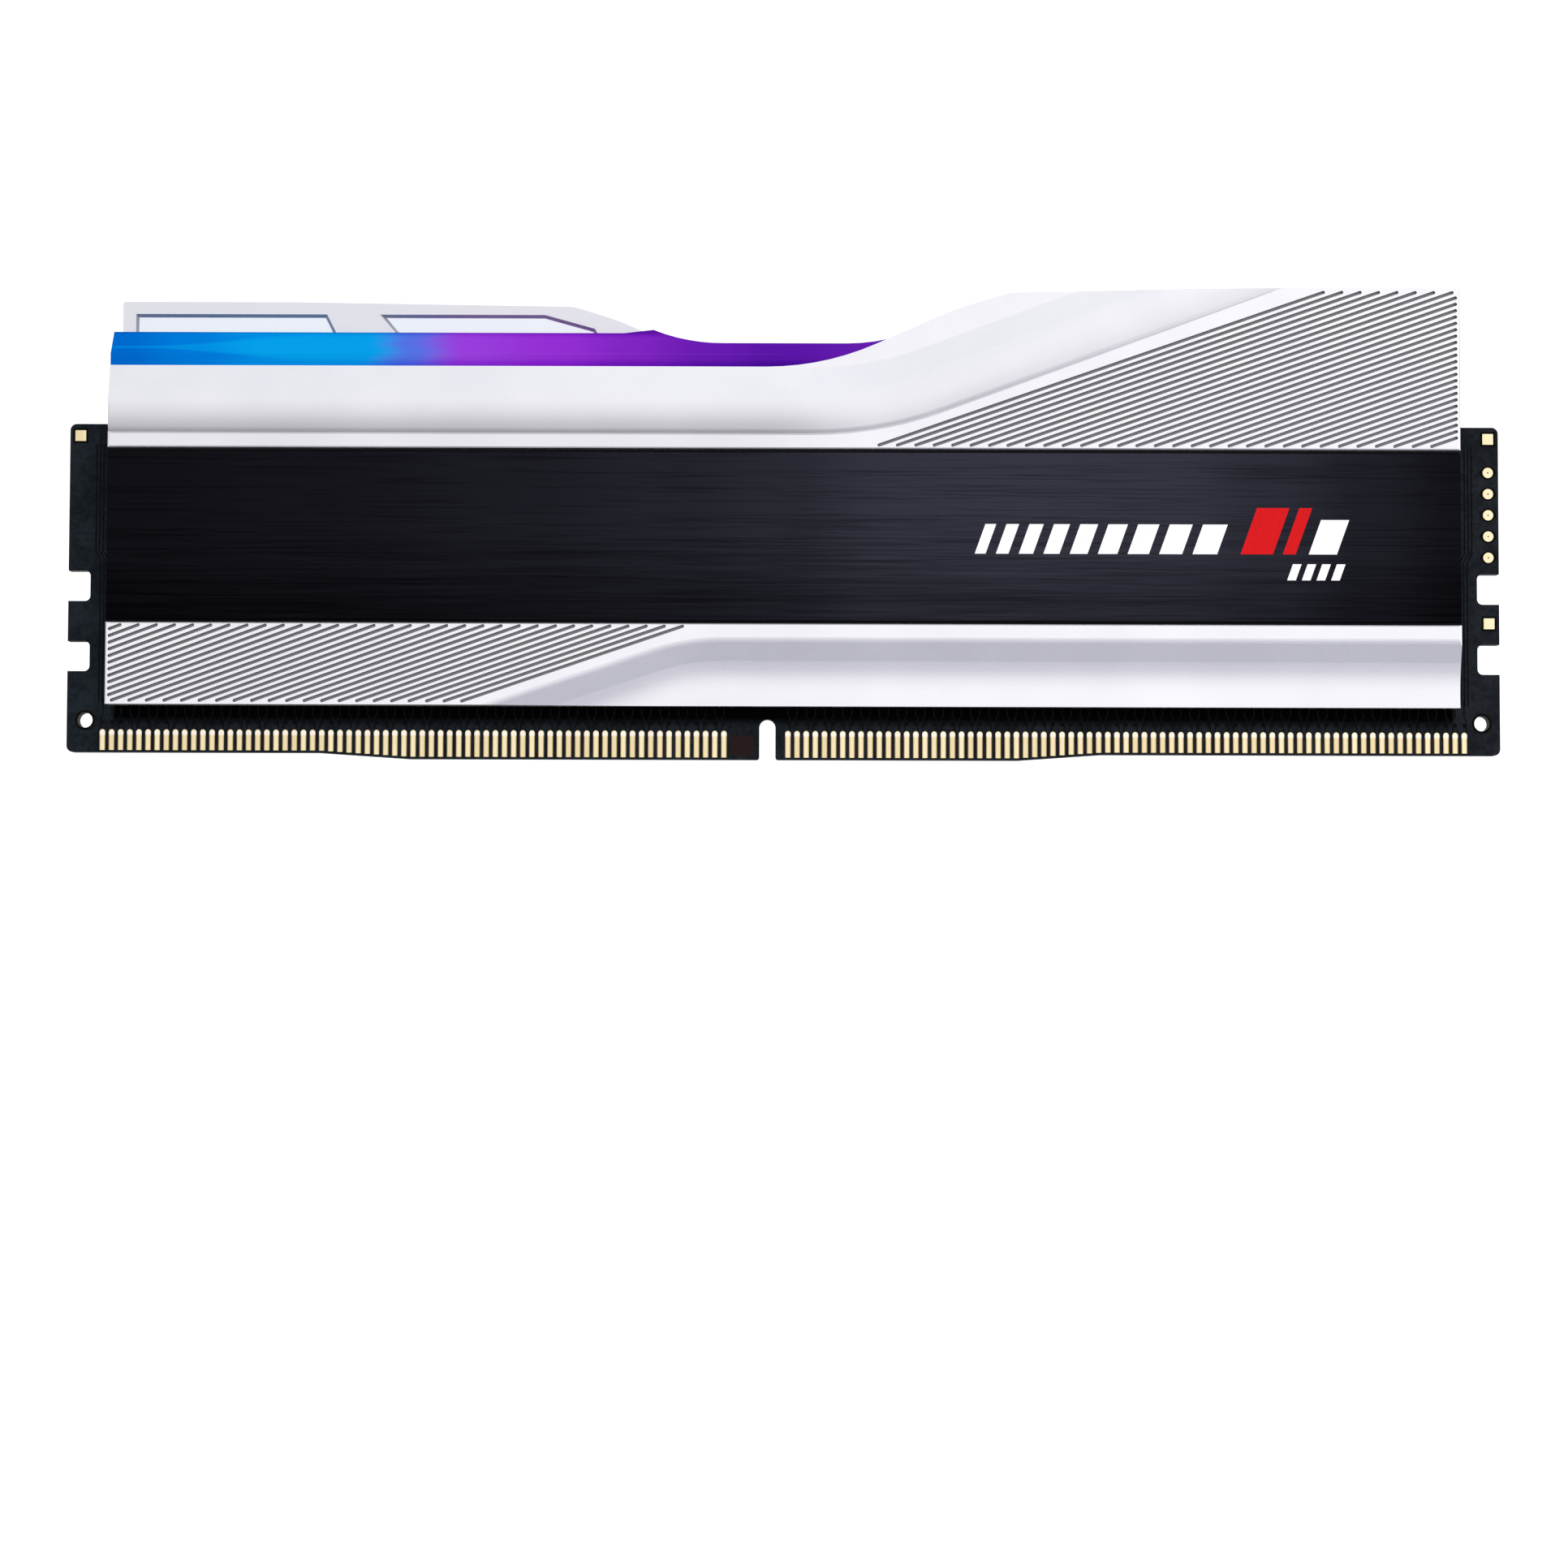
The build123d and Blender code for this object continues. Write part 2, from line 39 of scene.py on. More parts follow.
# ------------------------------------------------------------------ node helpers
class Tree:
    """A material's node tree, with short calls for the nodes that the looks use."""

    def __init__(self, name):
        self.material = bpy.data.materials.new(name)
        self.material.use_nodes = True
        self.tree = self.material.node_tree
        self.shader = self.tree.nodes["Principled BSDF"]
        coords = self.tree.nodes.new("ShaderNodeTexCoord")
        self.place = coords.outputs["Object"]
        split = self.tree.nodes.new("ShaderNodeSeparateXYZ")
        self.link(self.place, split.inputs[0])
        self.x, self.y, self.z = split.outputs

    def link(self, source, target):
        """Joins an output to an input, or sets the input when source is a plain value."""
        if isinstance(source, bpy.types.NodeSocket):
            self.tree.links.new(source, target)
        else:
            target.default_value = source

    def math(self, operation, a, b=0.0, c=0.0):
        node = self.tree.nodes.new("ShaderNodeMath")
        node.operation = operation
        for source, target in zip((a, b, c), node.inputs):
            self.link(source, target)
        return node.outputs[0]

    def ramp(self, value, low, high):
        """0 below low, 1 above high, smooth between them; low may be the larger."""
        node = self.tree.nodes.new("ShaderNodeMapRange")
        node.interpolation_type = "SMOOTHSTEP"
        lowest, highest = min(low, high), max(low, high)
        self.link(value, node.inputs["Value"])
        self.link(lowest, node.inputs["From Min"])
        self.link(highest, node.inputs["From Max"])
        self.link(0.0 if low < high else 1.0, node.inputs["To Min"])
        self.link(1.0 if low < high else 0.0, node.inputs["To Max"])
        return node.outputs["Result"]

    def between(self, value, low, high, soft):
        """1 between low and high, 0 outside, with edges that are soft wide."""
        rise = self.ramp(value, low - soft, low + soft)
        fall = self.ramp(value, high + soft, high - soft)
        return self.math("MULTIPLY", rise, fall)

    def stretch(self, scale):
        """Object coordinates scaled by a triple."""
        node = self.tree.nodes.new("ShaderNodeMapping")
        self.link(self.place, node.inputs["Vector"])
        self.link(scale, node.inputs["Scale"])
        return node.outputs[0]

    def noise(self, vector, scale, detail=3.0, roughness=0.55):
        node = self.tree.nodes.new("ShaderNodeTexNoise")
        self.link(vector, node.inputs["Vector"])
        self.link(scale, node.inputs["Scale"])
        self.link(detail, node.inputs["Detail"])
        self.link(roughness, node.inputs["Roughness"])
        return node.outputs["Fac"]

    def mix(self, factor, a, b):
        """Colour a where factor is 0, b where it is 1."""
        node = self.tree.nodes.new("ShaderNodeMix")
        node.data_type = "RGBA"
        self.link(factor, node.inputs[0])
        self.link(rgba(a), node.inputs[6])
        self.link(rgba(b), node.inputs[7])
        return node.outputs[2]

    def colours(self, value, stops):
        """Colour ramp from (place, colour) stops."""
        node = self.tree.nodes.new("ShaderNodeValToRGB")
        fill_ramp(node.color_ramp, stops)
        self.link(value, node.inputs["Fac"])
        return node.outputs["Color"]

    def along(self):
        """Place along the module, from left to right on whichever side is looked at."""
        side = self.math("MULTIPLY", self.math("SIGN", self.y), -1.0)
        return self.math("MULTIPLY", self.x, side)

    def bump(self, height, distance, strength=1.0):
        node = self.tree.nodes.new("ShaderNodeBump")
        self.link(height, node.inputs["Height"])
        self.link(distance, node.inputs["Distance"])
        self.link(strength, node.inputs["Strength"])
        self.link(node.outputs[0], self.shader.inputs["Normal"])

    def set(self, **values):
        """Sets or links the shader's sockets; an underscore stands for a space."""
        for name, value in values.items():
            socket = self.shader.inputs[name.replace("_", " ")]
            self.link(rgba(value) if isinstance(value, tuple) else value, socket)
        return self.material


def rgba(colour):
    """Four numbers from three; a socket passes through."""
    if isinstance(colour, tuple) and len(colour) == 3:
        return (*colour, 1.0)
    return colour


def fill_ramp(ramp, stops):
    """Gives a colour ramp its (place, colour) stops, with eased steps between them."""
    ramp.interpolation = "EASE"
    while len(ramp.elements) < len(stops):
        ramp.elements.new(0.5)
    for element, (position, colour) in zip(ramp.elements, stops):
        element.position = position
        element.color = rgba(colour)


def srgb(red, green, blue):
    """Linear colour from 0 to 255 display values."""
    def linear(value):
        value /= 255
        return value / 12.92 if value <= 0.04045 else ((value + 0.055) / 1.055) ** 2.4
    return (linear(red), linear(green), linear(blue))


def dress(material, *names):
    """Gives a material to CAD nodes whose names start with one of names."""
    for node_name, node in nodes.items():
        if node_name.startswith(names):
            node.data.materials.clear()
            node.data.materials.append(material)


# --------------------------------------------------------------------- materials
SILVER = (0.756, 0.752, 0.781)
SILVER_PALE = (0.799, 0.795, 0.820)
SILVER_GRAIN = (0.879, 0.879, 0.888)
# Painted shade inside the grooves.
GROOVE_SHADE = (0.283, 0.281, 0.291)
# Painted shade in the gap between the black plate and its channel.
CHANNEL_GAP_SHADE = (0.006, 0.006, 0.007)
# Painted shade on the fin's inner face, painted bluish light on its pocket floors and painted shadow
# on its pocket walls.
INNER_FACE_SHADE = (0.695, 0.695, 0.723)
POCKET_FLOOR_LIGHT = (0.784, 0.813, 0.846)
POCKET_WALL_SHADOW = (0.472, 0.472, 0.482)

# Depths below the outermost face, LIP_Y from the board's mid-plane. In this part of the
# script a pair is the two ends of a ramp, or the low and the high side of a band.
LIP_Y = 4.25 * MM
GROOVE_DEEPENS = (0.05 * MM, 0.20 * MM)
GROOVE_LIMIT = (0.60 * MM, 0.50 * MM)
CHANNEL_DEPTH = (0.50 * MM, 0.80 * MM)
CHANNEL_Z = (12.35 * MM, 28.59 * MM)

# The fin's inner face and its pockets: distances from the board's mid-plane, and heights.
INNER_Y = 2.2 * MM
POCKET_Y = 2.55 * MM
INSIDE_FIN_Y = (POCKET_Y + 0.06 * MM, POCKET_Y + 0.02 * MM)
INSIDE_FIN_Z = (31.5 * MM, 32.0 * MM)
POCKET_FLOOR_Y = (POCKET_Y - 0.04 * MM, POCKET_Y - 0.01 * MM)
POCKET_WALL_Y = (INNER_Y + 0.03 * MM, POCKET_Y - 0.04 * MM)
POCKET_WALL_SOFT = 0.015 * MM

# Slanted creases: x and z of a point on the line in mm, and its angle in degrees.
UPPER_CREASE = (8.85, 30.05, 20.2)
LOWER_CREASE = (-9.0, 10.95, 18.4)
CREASE_BEND_MM = 3.3
BEHIND_UPPER_CREASE = 0.25 * MM
BEHIND_LOWER_CREASE = 0.15 * MM
FIELD_EDGE = 0.1 * MM

# Painted shade on the rolled band, by height above the crease, and on the lip below it.
BAND_SHADE = (3.4 * MM, 0.2 * MM)
BAND_START = (-0.06 * MM, 0.02 * MM)
BAND_SHADE_LEFT = 0.38
BAND_SHADE_RIGHT = 0.15
BAND_FADE_X = (-2 * MM, 10 * MM)
LIP_SHADE = 0.09
LIP_START = (-0.12 * MM, -0.30 * MM)
LIP_FADE_X = (8 * MM, -6 * MM)
ABOVE_PLATE = (28.60 * MM, 28.72 * MM)
OUTER_FACE_Y = (3.0 * MM, 3.1 * MM)


def silver_metal():
    """Fine-blasted silver-white metal, with painted shade inside the grooves, in the gap round the
    plate's channel and along the upper crease, and painted light and shade on the fin's inner face
    and its pockets.
    """
    t = Tree("silver_metal")
    fine = t.noise(t.place, 5200, 2.0)
    cloud = t.noise(t.place, 90, 3.0)
    tint = t.mix(t.ramp(cloud, 0.3, 0.7), SILVER, SILVER_PALE)
    colour = t.mix(t.math("MULTIPLY", t.ramp(fine, 0.35, 0.65), 0.12), tint, SILVER_GRAIN)
    depth = t.math("SUBTRACT", LIP_Y, t.math("ABSOLUTE", t.y))
    deep = t.math("MULTIPLY", t.ramp(depth, *GROOVE_DEEPENS), t.ramp(depth, *GROOVE_LIMIT))
    # Painted shade where the band rolls down to the upper crease, and on the lip below it.
    colour = t.mix(crease_shade(t), colour, (0.0, 0.0, 0.0))
    in_groove = t.math("MULTIPLY", deep, groove_field(t))
    # Painted shade inside the grooves.
    colour = t.mix(in_groove, colour, GROOVE_SHADE)
    # Painted shade in the gap between the black plate and its channel.
    in_channel = t.math("MULTIPLY", t.between(depth, *CHANNEL_DEPTH, 0.02 * MM),
                        t.between(t.z, *CHANNEL_Z, 0.01 * MM))
    colour = t.mix(in_channel, colour, CHANNEL_GAP_SHADE)
    off_middle = t.math("ABSOLUTE", t.y)
    inner = t.math("MULTIPLY", t.ramp(off_middle, *INSIDE_FIN_Y), t.ramp(t.z, *INSIDE_FIN_Z))
    on_floor = t.ramp(off_middle, *POCKET_FLOOR_Y)
    on_wall = t.between(off_middle, *POCKET_WALL_Y, POCKET_WALL_SOFT)
    # Painted shade on the fin's inner face, painted bluish light on its pocket floors and painted
    # shadow on its pocket walls.
    inside = t.mix(on_wall, t.mix(on_floor, INNER_FACE_SHADE, POCKET_FLOOR_LIGHT), POCKET_WALL_SHADOW)
    colour = t.mix(inner, colour, inside)
    rough = t.math("ADD", 0.27, t.math("MULTIPLY", fine, 0.08))
    rough = t.math("ADD", rough, t.math("MULTIPLY", in_groove, 0.25))
    rough = t.math("ADD", rough, t.math("MULTIPLY", t.math("MULTIPLY", inner, on_wall), 0.45))
    t.bump(fine, 0.006 * MM, 0.35)
    return t.set(Base_Color=colour, Metallic=0.9, Roughness=rough)


def crease_shade(t):
    """How much painted shade darkens the metal on the upper lip and where the band rolls down to its
    crease.
    """
    along = t.along()
    slanted = line_height(t, along, *UPPER_CREASE)
    crease = t.math("SMOOTH_MAX", slanted, UPPER_CREASE[1] * MM, CREASE_BEND_MM * MM)
    height = t.math("SUBTRACT", t.z, crease)
    on_band = t.math("MULTIPLY", t.ramp(height, *BAND_SHADE), t.ramp(height, *BAND_START))
    outer = t.ramp(t.math("ABSOLUTE", t.y), *OUTER_FACE_Y)
    amount = t.math("MULTIPLY_ADD", t.ramp(along, *BAND_FADE_X),
                    BAND_SHADE_RIGHT - BAND_SHADE_LEFT, BAND_SHADE_LEFT)
    band = t.math("MULTIPLY", on_band, amount)
    on_lip = t.math("MULTIPLY", t.ramp(height, *LIP_START), t.ramp(t.z, *ABOVE_PLATE))
    lip = t.math("MULTIPLY", on_lip, t.math("MULTIPLY", t.ramp(along, *LIP_FADE_X), LIP_SHADE))
    return t.math("MULTIPLY", t.math("ADD", band, lip), outer)


def groove_field(t):
    """1 in the two grooved fields of a spreader, seen from its own side."""
    along = t.along()
    above_channel = t.ramp(t.z, CHANNEL_Z[1], CHANNEL_Z[1] + FIELD_EDGE)
    below_channel = t.ramp(t.z, CHANNEL_Z[0], CHANNEL_Z[0] - FIELD_EDGE)
    behind_upper = below_line(t, along, UPPER_CREASE, BEHIND_UPPER_CREASE)
    behind_lower = above_line(t, along, LOWER_CREASE, BEHIND_LOWER_CREASE)
    upper = t.math("MULTIPLY", above_channel, behind_upper)
    lower = t.math("MULTIPLY", below_channel, behind_lower)
    return t.math("MAXIMUM", upper, lower)


def line_height(t, along, x, z, angle):
    """Height, at each place along the module, of the slanted line through x, z."""
    run = t.math("SUBTRACT", along, x * MM)
    return t.math("MULTIPLY_ADD", run, math.tan(math.radians(angle)), z * MM)


def below_line(t, along, line, margin):
    """1 at more than margin below a slanted line."""
    distance = t.math("SUBTRACT", t.z, line_height(t, along, *line))
    return t.ramp(distance, -margin, -margin - FIELD_EDGE)


def above_line(t, along, line, margin):
    """1 at more than margin above a slanted line."""
    distance = t.math("SUBTRACT", t.z, line_height(t, along, *line))
    return t.ramp(distance, margin, margin + FIELD_EDGE)


# Painted sheen: brightness painted into the hairline plate's colour, from its left end, 0, to its
# right end, 1.
PLATE_SHEEN = (
    (0.00, 0.0058), (0.16, 0.0080), (0.30, 0.0120), (0.42, 0.0170), (0.50, 0.0225), (0.58, 0.0345),
    (0.66, 0.0370), (0.78, 0.0350), (0.86, 0.0250), (0.93, 0.0135), (1.00, 0.0062),
)
# Tint of the painted sheen.
PLATE_TINT = (0.93, 0.94, 1.34)
PLATE_LENGTH = 125 * MM
# Heights over which the plate's painted shade fades out upwards.
PLATE_SHADE_Z = (12.6 * MM, 25.0 * MM)


def black_hairline():
    """Black anodised plate with hairlines along the module, with a painted sheen along it and painted
    shade towards its bottom.
    """
    t = Tree("black_hairline")
    lines = t.noise(t.stretch((75, 1000, 5600)), 1.0, 4.0, 0.66)
    wide = t.noise(t.stretch((14, 200, 900)), 1.0, 3.0)
    # Painted sheen along the plate.
    along = t.math("MULTIPLY_ADD", t.along(), 1 / PLATE_LENGTH, 0.5)
    stops = [(place, tuple(tone * part for part in PLATE_TINT)) for place, tone in PLATE_SHEEN]
    sheen = t.colours(along, stops)
    tone = t.math("MULTIPLY_ADD", wide, 0.3, t.math("MULTIPLY", lines, 0.7))
    shade = t.math("MULTIPLY_ADD", t.ramp(tone, 0.34, 0.66), 0.90, 0.55)
    # Painted shade: the plate darker towards its bottom.
    shade = t.math("MULTIPLY", shade, t.math("MULTIPLY_ADD", t.ramp(t.z, *PLATE_SHADE_Z), 0.50, 0.50))
    rough = t.math("MULTIPLY_ADD", lines, 0.16, 0.34)
    t.bump(lines, 0.010 * MM, 0.4)
    return t.set(Base_Color=t.mix(shade, (0.0, 0.0, 0.0), sheen), Metallic=1.0, Roughness=rough)


# The window without mask, the board's cut edge, and the part that the spreader shades.
BARE_X = (-4.95 * MM, -2.72 * MM)
BARE_Z = (0.38 * MM, 2.25 * MM)
BARE_SOFT = 0.02 * MM
BOARD_FACE = (0.632 * MM, 0.628 * MM)
UNDER_SPREADER = (2.9 * MM, 4.0 * MM)
COVERED_X = (62.46 * MM, 62.16 * MM)
MASK_FADE_X = (-50 * MM, 50 * MM)
WEAVE_PITCH = 0.42 * MM


def solder_mask():
    """Near-black solder mask over a faint glass weave, with a bare window by the key notch and a
    painted shadow under the spreader.
    """
    t = Tree("solder_mask")
    cloud = t.noise(t.place, 260, 3.0)
    speck = t.noise(t.place, 2400, 2.0)
    side = t.ramp(t.x, *MASK_FADE_X)
    dark = t.mix(side, (0.0068, 0.0094, 0.0118), (0.0084, 0.0102, 0.0122))
    pale = t.mix(side, (0.0145, 0.0186, 0.0236), (0.0176, 0.0204, 0.0244))
    tone = t.math("MULTIPLY_ADD", speck, 0.5, t.math("MULTIPLY", cloud, 0.5))
    colour = t.mix(t.ramp(tone, 0.36, 0.66), dark, pale)
    weave_x, weave_z = (t.math("SINE", t.math("MULTIPLY", axis, 2 * math.pi / WEAVE_PITCH))
                        for axis in (t.x, t.z))
    weave = t.math("MULTIPLY", weave_x, weave_z)
    bare = t.math("MULTIPLY", t.between(t.x, *BARE_X, BARE_SOFT), t.between(t.z, *BARE_Z, BARE_SOFT))
    colour = t.mix(bare, colour, (0.019, 0.011, 0.010))
    # Painted shadow on the board just under the spreader's lower edge.
    spreader_shadow = t.math("MULTIPLY", t.ramp(t.z, *UNDER_SPREADER),
                     t.ramp(t.math("ABSOLUTE", t.x), *COVERED_X))
    colour = t.mix(spreader_shadow, colour, (0.0002, 0.0002, 0.0004))
    edge = t.ramp(t.math("ABSOLUTE", t.y), *BOARD_FACE)
    colour = t.mix(edge, colour, (0.012, 0.013, 0.012))
    t.bump(t.math("MULTIPLY_ADD", weave, 0.25, speck), 0.006 * MM, 0.5)
    return t.set(Base_Color=colour, Roughness=0.36, Specular_IOR_Level=0.01)


def board_relief(name, dark, pale):
    """Solder mask over raised copper, or the dark ring that it leaves open around a pad."""
    t = Tree(name)
    speck = t.noise(t.place, 2600, 2.0)
    t.bump(speck, 0.004 * MM, 0.4)
    return t.set(Base_Color=t.mix(t.ramp(speck, 0.35, 0.65), dark, pale), Roughness=0.34,
                 Specular_IOR_Level=0.03)


CONTACT_PITCH = 0.85 * MM
CONTACT_TOP = 2.68 * MM
CONTACT_TIP_Z = (CONTACT_TOP - 0.5 * MM, CONTACT_TOP - 0.1 * MM)
ABOVE_CONTACTS = (3.0 * MM, 2.9 * MM)


def gold_plating():
    """Bright gold plating, with warm painted shade along the fingers' rounded edges and a painted
    highlight near their tops, that differs a little between fingers.
    """
    t = Tree("gold_plating")
    place = t.math("DIVIDE", t.x, CONTACT_PITCH)
    shade = t.tree.nodes.new("ShaderNodeTexWhiteNoise")
    shade.noise_dimensions = "1D"
    t.link(t.math("FLOOR", place), shade.inputs["W"])
    colour = t.mix(shade.outputs["Value"], (0.76, 0.63, 0.36), (0.86, 0.75, 0.48))
    off_axis = t.math("ABSOLUTE", t.math("SUBTRACT", t.math("FRACT", place), 0.5))
    finger = t.ramp(t.z, *ABOVE_CONTACTS)
    # Warm painted shade along each finger's rounded edges.
    rim_shade = t.math("MULTIPLY", t.ramp(off_axis, 0.16, 0.29), finger)
    colour = t.mix(t.math("MULTIPLY", rim_shade, 0.90), colour, (0.33, 0.21, 0.09))
    # Painted highlight near the top of each finger.
    tip_highlight = t.math("MULTIPLY", t.between(t.z, *CONTACT_TIP_Z, 0.15 * MM), finger)
    colour = t.mix(t.math("MULTIPLY", tip_highlight, 0.6), colour, (0.97, 0.93, 0.86))
    scratch = t.noise(t.stretch((5200, 900, 700)), 1.0, 3.0)
    rough = t.math("MULTIPLY_ADD", scratch, 0.16, 0.22)
    t.bump(scratch, 0.004 * MM, 0.4)
    return t.set(Base_Color=colour, Metallic=1.0, Roughness=rough)


# Colours of the light bar from its left end, 0, to its right end, 1.
BAR_COLOURS = (
    (0.00, srgb(0, 124, 212)),
    (0.06, srgb(2, 142, 224)),
    (0.11, srgb(4, 158, 232)),
    (0.18, srgb(6, 158, 232)),
    (0.215, srgb(84, 112, 226)),
    (0.26, srgb(152, 60, 218)),
    (0.33, srgb(148, 44, 210)),
    (0.39, srgb(128, 34, 192)),
    (0.45, srgb(106, 24, 176)),
    (0.50, srgb(90, 16, 164)),
    (0.57, srgb(100, 24, 170)),
    (0.70, srgb(150, 44, 206)),
    (0.85, srgb(190, 50, 190)),
    (1.00, srgb(206, 52, 150)),
)
BAR_LENGTH = 125.3 * MM
BAR_CORE_Z = 38.25 * MM
BAR_CORE_START = 62.0 * MM
BAR_CORE_OPENS = (3 * MM, 19 * MM)
BAR_CORE_GROWTH = 1.05 * MM
BAR_CORE_LEAST = 0.12 * MM
BAR_CORE_SLANT = 1.6
# Heights of the painted shade below the bar's crease, of the painted highlight along it, and of the
# dimmer top.
BELOW_BAR_CREASE = (37.70 * MM, 37.55 * MM)
BAR_HIGHLIGHT_Z = (37.5 * MM, 37.68 * MM)
BAR_TOP_Z = (39.45 * MM, 39.75 * MM)


def light_diffuser():
    """Milky diffuser lit from blue to purple, brightest in a core that opens out from its end, with a
    painted highlight along its crease and painted shade below it.
    """
    t = Tree("light_diffuser")
    cloud = t.noise(t.stretch((60, 300, 420)), 1.0, 3.0)
    along = t.math("MULTIPLY_ADD", t.x, 1 / BAR_LENGTH, 0.5)
    along = t.math("ADD", along, t.math("MULTIPLY", t.math("SUBTRACT", cloud, 0.5), 0.05))
    slant = t.math("MULTIPLY", t.math("SUBTRACT", t.z, BAR_CORE_Z), BAR_CORE_SLANT)
    core = t.colours(t.math("ADD", along, slant), BAR_COLOURS)
    deep = t.tree.nodes.new("ShaderNodeGamma")
    t.link(core, deep.inputs["Color"])
    t.link(1.25, deep.inputs["Gamma"])
    from_core = t.math("ABSOLUTE", t.math("SUBTRACT", t.z, BAR_CORE_Z))
    from_end = t.math("SUBTRACT", BAR_CORE_START, t.math("ABSOLUTE", t.x))
    reach = t.math("MULTIPLY_ADD", t.ramp(from_end, *BAR_CORE_OPENS), BAR_CORE_GROWTH, BAR_CORE_LEAST)
    lit = t.ramp(t.math("DIVIDE", from_core, reach), 1.35, 0.75)
    glow = t.mix(lit, deep.outputs[0], core)
    # Painted highlight along the bar's crease.
    highlight_noise = t.noise(t.stretch((22, 300, 2600)), 1.0, 3.0)
    line = t.math("MULTIPLY", t.between(t.z, *BAR_HIGHLIGHT_Z, 0.10 * MM), t.ramp(highlight_noise, 0.40, 0.62))
    line = t.math("MULTIPLY", line, t.ramp(along, 0.20, 0.27))
    glow = t.mix(t.math("MULTIPLY", line, 0.35), glow, srgb(206, 150, 244))
    # Painted shade on the face below the bar's crease, and dimmer along the top.
    strength = t.math("MULTIPLY_ADD", t.ramp(t.z, *BELOW_BAR_CREASE), -0.06, 1.0)
    strength = t.math("MULTIPLY_ADD", t.ramp(t.z, *BAR_TOP_Z), -0.22, strength)
    t.bump(cloud, 0.01 * MM, 0.3)
    return t.set(Base_Color=(0.0, 0.002, 0.010), Roughness=0.30, Specular_IOR_Level=0.0,
                 Emission_Color=t.mix(strength, (0.0, 0.0, 0.0), glow), Emission_Strength=1.0)


def ink(name, colour):
    """Printed ink with a slightly uneven film."""
    t = Tree(name)
    grain = t.noise(t.place, 3800, 2.0)
    shaded = tuple(0.90 * c for c in colour)
    t.bump(grain, 0.003 * MM, 0.3)
    return t.set(Base_Color=t.mix(t.ramp(grain, 0.3, 0.7), shaded, colour), Roughness=0.45,
                 Specular_IOR_Level=0.12)


def moulded(name, dark, light, roughness):
    """Moulded or pressed body with a fine grain."""
    t = Tree(name)
    grain = t.noise(t.place, 4200, 3.0)
    t.bump(grain, 0.006 * MM, 0.5)
    return t.set(Base_Color=t.mix(t.ramp(grain, 0.3, 0.7), dark, light),
                 Roughness=t.math("MULTIPLY_ADD", grain, 0.12, roughness))


dress(silver_metal(), "heat_spreader")
dress(black_hairline(), "brushed_plate")
dress(solder_mask(), "circuit_board")
dress(gold_plating(), "edge_contacts", "fiducial_pads", "test_pads")
dress(light_diffuser(), "light_bar")
dress(ink("white_ink", (0.95, 0.95, 0.96)), "white_print")
dress(ink("red_ink", srgb(212, 11, 17)), "red_print")
dress(moulded("chip_epoxy", (0.014, 0.014, 0.015), (0.024, 0.024, 0.025), 0.55),
      "memory_chip", "power_management_chip", "spd_hub_chip", "led_driver_chip")
dress(moulded("ferrite", (0.06, 0.06, 0.063), (0.10, 0.10, 0.105), 0.5), "power_inductor")
dress(moulded("capacitor_ceramic", (0.30, 0.20, 0.13), (0.42, 0.30, 0.20), 0.35),
      "bulk_capacitors", "decoupling_capacitors")
dress(moulded("resistor_body", (0.02, 0.02, 0.022), (0.04, 0.04, 0.045), 0.3), "series_resistors")
dress(moulded("led_package", (0.74, 0.74, 0.70), (0.84, 0.84, 0.80), 0.3), "rgb_led")
dress(moulded("thermal_pad", (0.30, 0.33, 0.37), (0.38, 0.41, 0.45), 0.75), "thermal_pad")


# ------------------------------------------------------------------ board detail
BOARD_Y = 0.635 * MM
SUNK = 0.004 * MM
RELIEF = 0.012 * MM
LEFT_CONTACTS = range(69)
RIGHT_CONTACTS = range(75)
LAST_CONTACT_X = 63.325 * MM
VIA_Z = 3.35 * MM
VIA_R = (0.20 * MM, 0.13 * MM, 0.075 * MM)
VIA_STEPS = 12
TRACE_WIDTH = 0.13 * MM
TRACE_FOOT_Z = CONTACT_TOP + 0.08 * MM
TRACE_JOG_Z = (VIA_Z + 0.55 * MM, VIA_Z + 0.75 * MM)
TRACE_TOP_Z = 5.6 * MM
TRACE_SHIFT = 0.18 * MM
END_TRACE_X = (63.05, 63.38, 63.71)
END_TRACE_JOG = 0.45 * MM
END_TRACE_Z = (5.2 * MM, 18.6 * MM, 19.4 * MM, 29.4 * MM)
FIDUCIALS = ((-65.7 * MM, 30.15 * MM), (65.72 * MM, 30.15 * MM), (65.72 * MM, 12.86 * MM))
FIDUCIAL_OPENING = (0.505 * MM, 0.70 * MM)
TEST_PADS = [(65.7 * MM, (27.0 - 1.99 * i) * MM) for i in range(5)]
TEST_PAD_OPENING = (0.455 * MM, 0.64 * MM)
TOOLING_HOLE = (64.975 * MM, 3.53 * MM)
TOOLING_HOLE_OPENING = (0.705 * MM, 0.95 * MM)
OPENING_STEPS = 32


def contact_xs():
    """Middles of the contacts, as on the CAD's contact nodes."""
    left = [-LAST_CONTACT_X + i * CONTACT_PITCH for i in LEFT_CONTACTS]
    return left + [LAST_CONTACT_X - i * CONTACT_PITCH for i in RIGHT_CONTACTS]


def loop(points, side, out):
    """Corner points of one ring at a height above a board face; side is -1 in front, 1 behind."""
    return [(x, side * (BOARD_Y + out), z) for x, z in points]


def circle(x, z, radius, steps):
    angles = [2 * math.pi * i / steps for i in range(steps)]
    return [(x + radius * math.cos(a), z + radius * math.sin(a)) for a in angles]


